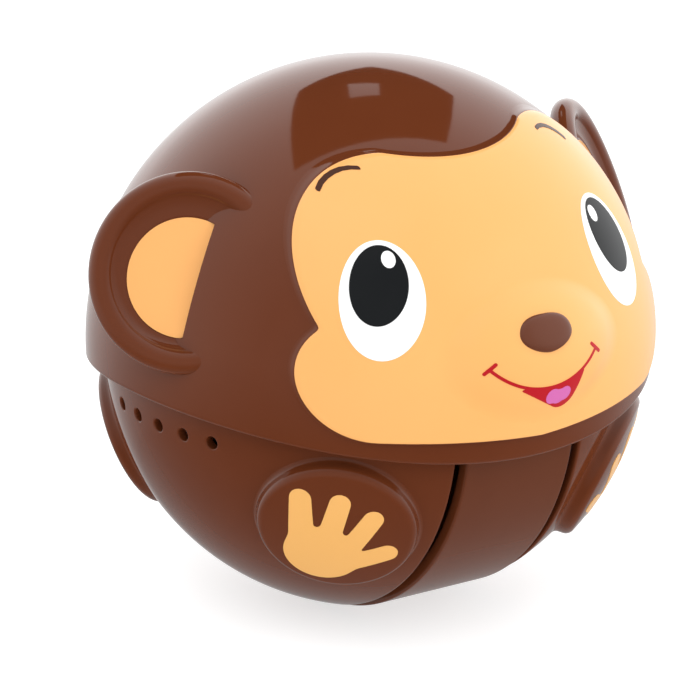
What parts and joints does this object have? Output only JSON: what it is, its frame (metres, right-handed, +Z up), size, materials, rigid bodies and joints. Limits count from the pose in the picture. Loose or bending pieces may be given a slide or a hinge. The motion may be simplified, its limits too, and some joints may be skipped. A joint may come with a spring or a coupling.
{
  "type": "rolling monkey toy",
  "caption": "Ball-shaped monkey toy: a pressable round head with ears and a painted face over a round body that rolls on a wide spring-driven central roller.",
  "frame": {"origin": "centre of the bounding box on the floor it stands on, under the body's axle", "axes": "+X towards the toy's own left side, along the roller's axle; the face looks along -Y; +Z up"},
  "size_m": [0.1416, 0.1282, 0.1196],
  "materials": {
    "brown_shell": "gloss",
    "brown_tread": "satin gloss",
    "cream_face": "satin",
    "cream_paint": "painted",
    "white_paint": "painted",
    "black_paint": "painted",
    "dark_brown": "painted",
    "red_paint": "painted",
    "pink_paint": "painted",
    "nylon": "moulded",
    "dark_plastic": "moulded",
    "ballast_iron": "as cast",
    "brass": "machined",
    "skin_film": "film",
    "spring_steel": "drawn wire and strip",
    "plated_steel": "zinc plated"
  },
  "bodies": {
    "chassis": {"right_pod_shell": "brown_shell", "left_pod_shell": "brown_shell", "right_pod_plate": "dark_plastic", "left_pod_plate": "dark_plastic", "hub_spool": "nylon", "spool_screws": "plated_steel", "pod_screws": "plated_steel", "right_ballast": "ballast_iron", "left_ballast": "ballast_iron", "ballast_screws": "plated_steel", "hand_prints": "cream_paint", "foot_prints": "cream_paint", "drum_cup": "plated_steel", "drum_skin": "skin_film", "drum_screws": "plated_steel", "hammer_pin": "plated_steel", "hammer_spring": "spring_steel", "motor_plate": "plated_steel", "motor_pillars": "nylon", "motor_screws": "plated_steel", "spring_arbor": "plated_steel", "mainspring": "spring_steel", "head_springs": "spring_steel"},
    "head": {"head_shell": "brown_shell", "face_plate": "cream_face", "eye_whites": "white_paint", "pupils": "black_paint", "eye_glints": "white_paint", "brows": "dark_brown", "nose": "dark_brown", "mouth": "red_paint", "tongue": "pink_paint", "right_ear": "brown_shell", "left_ear": "brown_shell", "right_ear_inlay": "cream_paint", "left_ear_inlay": "cream_paint", "ear_screws": "plated_steel", "post_screws": "plated_steel"},
    "roller": {"drive_wheel": "brown_tread", "wheel_gear": "nylon"},
    "drive": {"drive_shaft": "plated_steel", "drive_pinion": "brass", "barrel_pinion": "brass", "transfer_gear": "nylon"},
    "barrel": {"spring_barrel": "brass", "barrel_cap": "plated_steel"},
    "governor": {"governor_shaft": "plated_steel", "governor_pinion": "brass", "flywheel": "plated_steel"},
    "hammer": {"hammer_arm": "nylon", "hammer_head": "brass"}
  },
  "joints": [
    {"name": "wheel_spin", "type": "hinge", "parent": "chassis", "child": "roller", "pos_m": [0, 0.00215, 0.0561], "axis": [1, 0, 0], "continuous": true},
    {"name": "drive_spin", "type": "hinge", "parent": "chassis", "child": "drive", "pos_m": [0, 0.01229, 0.03435], "axis": [1, 0, 0], "continuous": true},
    {"name": "barrel_spin", "type": "hinge", "parent": "chassis", "child": "barrel", "pos_m": [0, 0.00215, 0.05872], "axis": [1, 0, 0], "continuous": true},
    {"name": "governor_spin", "type": "hinge", "parent": "chassis", "child": "governor", "pos_m": [0, 0.03031, 0.04475], "axis": [1, 0, 0], "continuous": true},
    {"name": "head_press", "type": "slide", "parent": "chassis", "child": "head", "axis": [0, 0, 1], "range_m": [-0.0025, 0], "stiffness_N_per_m": 2000, "springref_m": 0.0015, "deforming": ["head_springs"]},
    {"name": "hammer_swing", "type": "hinge", "parent": "chassis", "child": "hammer", "pos_m": [-0.036, 0.00215, 0.0641], "axis": [0, 1, 0], "range_deg": [0, 15.5]}
  ],
  "couplings": [
    {"joint": "drive_spin", "follows": "wheel_spin", "ratio": -4},
    {"joint": "barrel_spin", "follows": "wheel_spin", "ratio": 0.88889},
    {"joint": "governor_spin", "follows": "wheel_spin", "ratio": 13.333},
    {"joint": "hammer_swing", "follows": "head_press", "rad_per_m": -104.72}
  ]
}
